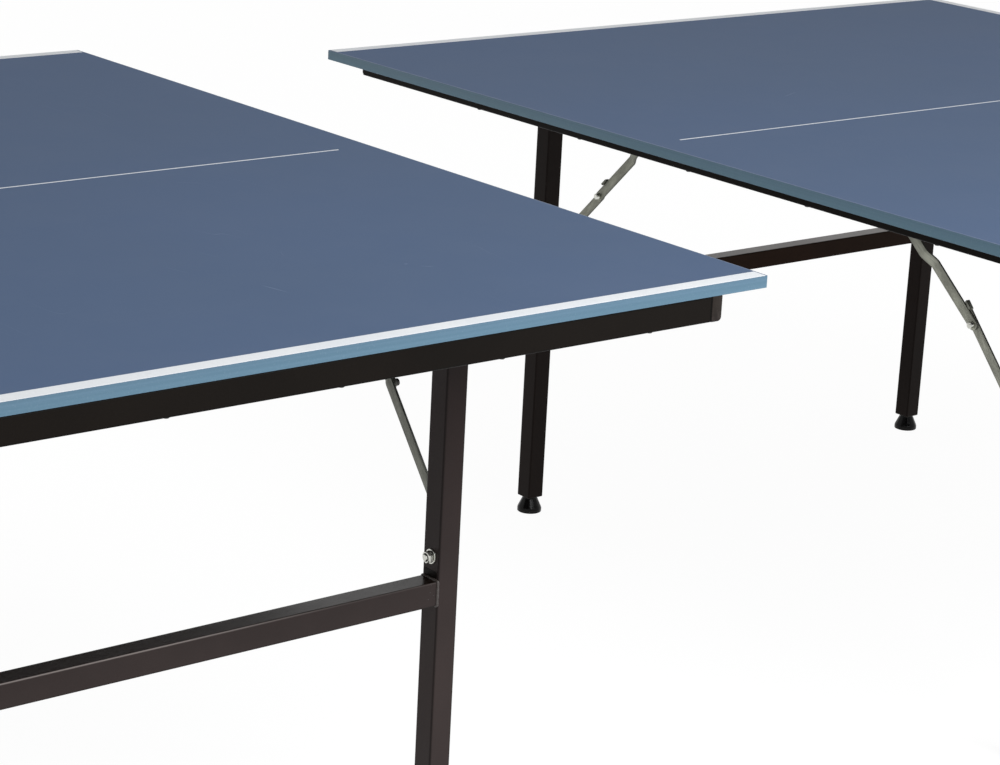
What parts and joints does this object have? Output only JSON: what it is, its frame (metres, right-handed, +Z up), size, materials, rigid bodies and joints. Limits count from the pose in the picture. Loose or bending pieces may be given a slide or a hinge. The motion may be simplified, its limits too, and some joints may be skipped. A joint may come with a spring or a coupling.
{
  "type": "table tennis table",
  "caption": "Table tennis table in two free-standing halves: blue boards with white lines on dark square-tube leg frames that fold on jointed stays and stand on levelling feet.",
  "frame": {"origin": "on the floor, at the middle of the box round both halves, midway between their net edges", "axes": "+X along the sidelines from the left half to the right half, +Y across the table away from the viewer, +Z up"},
  "size_m": [3.1, 1.68, 0.76],
  "materials": {
    "top_board": "satin blue paint on chipboard, with white painted lines and light scratches",
    "edge_band": "light blue satin plastic",
    "rail_paint": "black-brown satin powder coat",
    "frame_paint": "warm brown-black satin powder coat",
    "black_plastic": "black moulded plastic",
    "zinc": "bright zinc plate",
    "stay_steel": "dull zinc-plated flat steel, worn at the edges",
    "dark_steel": "blackened screws",
    "foot_plastic": "glossy black moulded plastic"
  },
  "bodies": {
    "left_half": {"left_board": "top_board", "left_edge_band": "edge_band", "left_side_rails": "rail_paint", "left_cross_rails": "rail_paint", "left_rail_caps": "black_plastic", "left_leg_brackets": "frame_paint", "left_stay_brackets": "frame_paint", "left_pivot_bolts": "zinc", "left_screws": "dark_steel"},
    "right_half": {"right_board": "top_board", "right_edge_band": "edge_band", "right_side_rails": "rail_paint", "right_cross_rails": "rail_paint", "right_rail_caps": "black_plastic", "right_leg_brackets": "frame_paint", "right_stay_brackets": "frame_paint", "right_pivot_bolts": "zinc", "right_screws": "dark_steel"},
    "left_front_frame": {"left_front_legs": "frame_paint", "left_front_crossbar": "frame_paint", "left_front_leg_plugs": "black_plastic", "left_front_stay_bolts": "zinc", "left_front_stay_nuts": "zinc"},
    "left_front_lower_stay": {"left_front_lower_stays": "stay_steel"},
    "left_front_upper_stay": {"left_front_upper_stays": "stay_steel", "left_front_elbow_pins": "zinc"},
    "left_front_net_foot": {"left_front_net_foot": "foot_plastic"},
    "left_front_end_foot": {"left_front_end_foot": "foot_plastic"},
    "left_rear_frame": {"left_rear_legs": "frame_paint", "left_rear_crossbar": "frame_paint", "left_rear_leg_plugs": "black_plastic", "left_rear_stay_bolts": "zinc", "left_rear_stay_nuts": "zinc"},
    "left_rear_lower_stay": {"left_rear_lower_stays": "stay_steel"},
    "left_rear_upper_stay": {"left_rear_upper_stays": "stay_steel", "left_rear_elbow_pins": "zinc"},
    "left_rear_net_foot": {"left_rear_net_foot": "foot_plastic"},
    "left_rear_end_foot": {"left_rear_end_foot": "foot_plastic"},
    "right_front_frame": {"right_front_legs": "frame_paint", "right_front_crossbar": "frame_paint", "right_front_leg_plugs": "black_plastic", "right_front_stay_bolts": "zinc", "right_front_stay_nuts": "zinc"},
    "right_front_lower_stay": {"right_front_lower_stays": "stay_steel"},
    "right_front_upper_stay": {"right_front_upper_stays": "stay_steel", "right_front_elbow_pins": "zinc"},
    "right_front_net_foot": {"right_front_net_foot": "foot_plastic"},
    "right_front_end_foot": {"right_front_end_foot": "foot_plastic"},
    "right_rear_frame": {"right_rear_legs": "frame_paint", "right_rear_crossbar": "frame_paint", "right_rear_leg_plugs": "black_plastic", "right_rear_stay_bolts": "zinc", "right_rear_stay_nuts": "zinc"},
    "right_rear_lower_stay": {"right_rear_lower_stays": "stay_steel"},
    "right_rear_upper_stay": {"right_rear_upper_stays": "stay_steel", "right_rear_elbow_pins": "zinc"},
    "right_rear_net_foot": {"right_rear_net_foot": "foot_plastic"},
    "right_rear_end_foot": {"right_rear_end_foot": "foot_plastic"}
  },
  "joints": [
    {"name": "halves_together", "type": "slide", "parent": "left_half", "child": "right_half", "axis": [-0.9185, 0.3955, 0], "range_m": [0, 0.3914]},
    {"name": "left_front_fold", "type": "hinge", "parent": "left_half", "child": "left_front_frame", "pos_m": [-0.48, -0.49, 0.72], "axis": [1, 0, 0], "range_deg": [0, 90]},
    {"name": "left_front_lower_stay_turn", "type": "hinge", "parent": "left_front_frame", "child": "left_front_lower_stay", "pos_m": [-0.48, -0.49, 0.417], "axis": [1, 0, 0], "range_deg": [0, 38.5]},
    {"name": "left_front_upper_stay_turn", "type": "hinge", "parent": "left_half", "child": "left_front_upper_stay", "pos_m": [-0.48, -0.187, 0.72], "axis": [1, 0, 0], "range_deg": [-38.5, 0]},
    {"name": "left_front_net_foot_level", "type": "slide", "parent": "left_front_frame", "child": "left_front_net_foot", "axis": [0, 0, -1], "range_m": [0, 0.012]},
    {"name": "left_front_end_foot_level", "type": "slide", "parent": "left_front_frame", "child": "left_front_end_foot", "axis": [0, 0, -1], "range_m": [0, 0.012]},
    {"name": "left_rear_fold", "type": "hinge", "parent": "left_half", "child": "left_rear_frame", "pos_m": [-0.55, 0.645, 0.72], "axis": [-1, 0, 0], "range_deg": [0, 90]},
    {"name": "left_rear_lower_stay_turn", "type": "hinge", "parent": "left_rear_frame", "child": "left_rear_lower_stay", "pos_m": [-0.55, 0.645, 0.417], "axis": [-1, 0, 0], "range_deg": [0, 41]},
    {"name": "left_rear_upper_stay_turn", "type": "hinge", "parent": "left_half", "child": "left_rear_upper_stay", "pos_m": [-0.55, 0.342, 0.72], "axis": [-1, 0, 0], "range_deg": [-41, 0]},
    {"name": "left_rear_net_foot_level", "type": "slide", "parent": "left_rear_frame", "child": "left_rear_net_foot", "axis": [0, 0, -1], "range_m": [0, 0.012]},
    {"name": "left_rear_end_foot_level", "type": "slide", "parent": "left_rear_frame", "child": "left_rear_end_foot", "axis": [0, 0, -1], "range_m": [0, 0.012]},
    {"name": "right_front_fold", "type": "hinge", "parent": "right_half", "child": "right_front_frame", "pos_m": [0.41, -0.645, 0.72], "axis": [1, 0, 0], "range_deg": [0, 90]},
    {"name": "right_front_lower_stay_turn", "type": "hinge", "parent": "right_front_frame", "child": "right_front_lower_stay", "pos_m": [0.41, -0.645, 0.417], "axis": [1, 0, 0], "range_deg": [0, 41]},
    {"name": "right_front_upper_stay_turn", "type": "hinge", "parent": "right_half", "child": "right_front_upper_stay", "pos_m": [0.41, -0.342, 0.72], "axis": [1, 0, 0], "range_deg": [-41, 0]},
    {"name": "right_front_net_foot_level", "type": "slide", "parent": "right_front_frame", "child": "right_front_net_foot", "axis": [0, 0, -1], "range_m": [0, 0.012]},
    {"name": "right_front_end_foot_level", "type": "slide", "parent": "right_front_frame", "child": "right_front_end_foot", "axis": [0, 0, -1], "range_m": [0, 0.012]},
    {"name": "right_rear_fold", "type": "hinge", "parent": "right_half", "child": "right_rear_frame", "pos_m": [0.48, 0.49, 0.72], "axis": [-1, 0, 0], "range_deg": [0, 90]},
    {"name": "right_rear_lower_stay_turn", "type": "hinge", "parent": "right_rear_frame", "child": "right_rear_lower_stay", "pos_m": [0.48, 0.49, 0.417], "axis": [-1, 0, 0], "range_deg": [0, 45]},
    {"name": "right_rear_upper_stay_turn", "type": "hinge", "parent": "right_half", "child": "right_rear_upper_stay", "pos_m": [0.48, 0.187, 0.72], "axis": [-1, 0, 0], "range_deg": [-45, 0]},
    {"name": "right_rear_net_foot_level", "type": "slide", "parent": "right_rear_frame", "child": "right_rear_net_foot", "axis": [0, 0, -1], "range_m": [0, 0.012]},
    {"name": "right_rear_end_foot_level", "type": "slide", "parent": "right_rear_frame", "child": "right_rear_end_foot", "axis": [0, 0, -1], "range_m": [0, 0.012]}
  ],
  "couplings": [
    {"joint": "left_front_lower_stay_turn", "follows": "left_front_fold", "ratio": 0.42778},
    {"joint": "left_front_upper_stay_turn", "follows": "left_front_fold", "ratio": -0.42778},
    {"joint": "left_rear_lower_stay_turn", "follows": "left_rear_fold", "ratio": 0.45555},
    {"joint": "left_rear_upper_stay_turn", "follows": "left_rear_fold", "ratio": -0.45555},
    {"joint": "right_front_lower_stay_turn", "follows": "right_front_fold", "ratio": 0.45555},
    {"joint": "right_front_upper_stay_turn", "follows": "right_front_fold", "ratio": -0.45555},
    {"joint": "right_rear_lower_stay_turn", "follows": "right_rear_fold", "ratio": 0.5},
    {"joint": "right_rear_upper_stay_turn", "follows": "right_rear_fold", "ratio": -0.5}
  ]
}
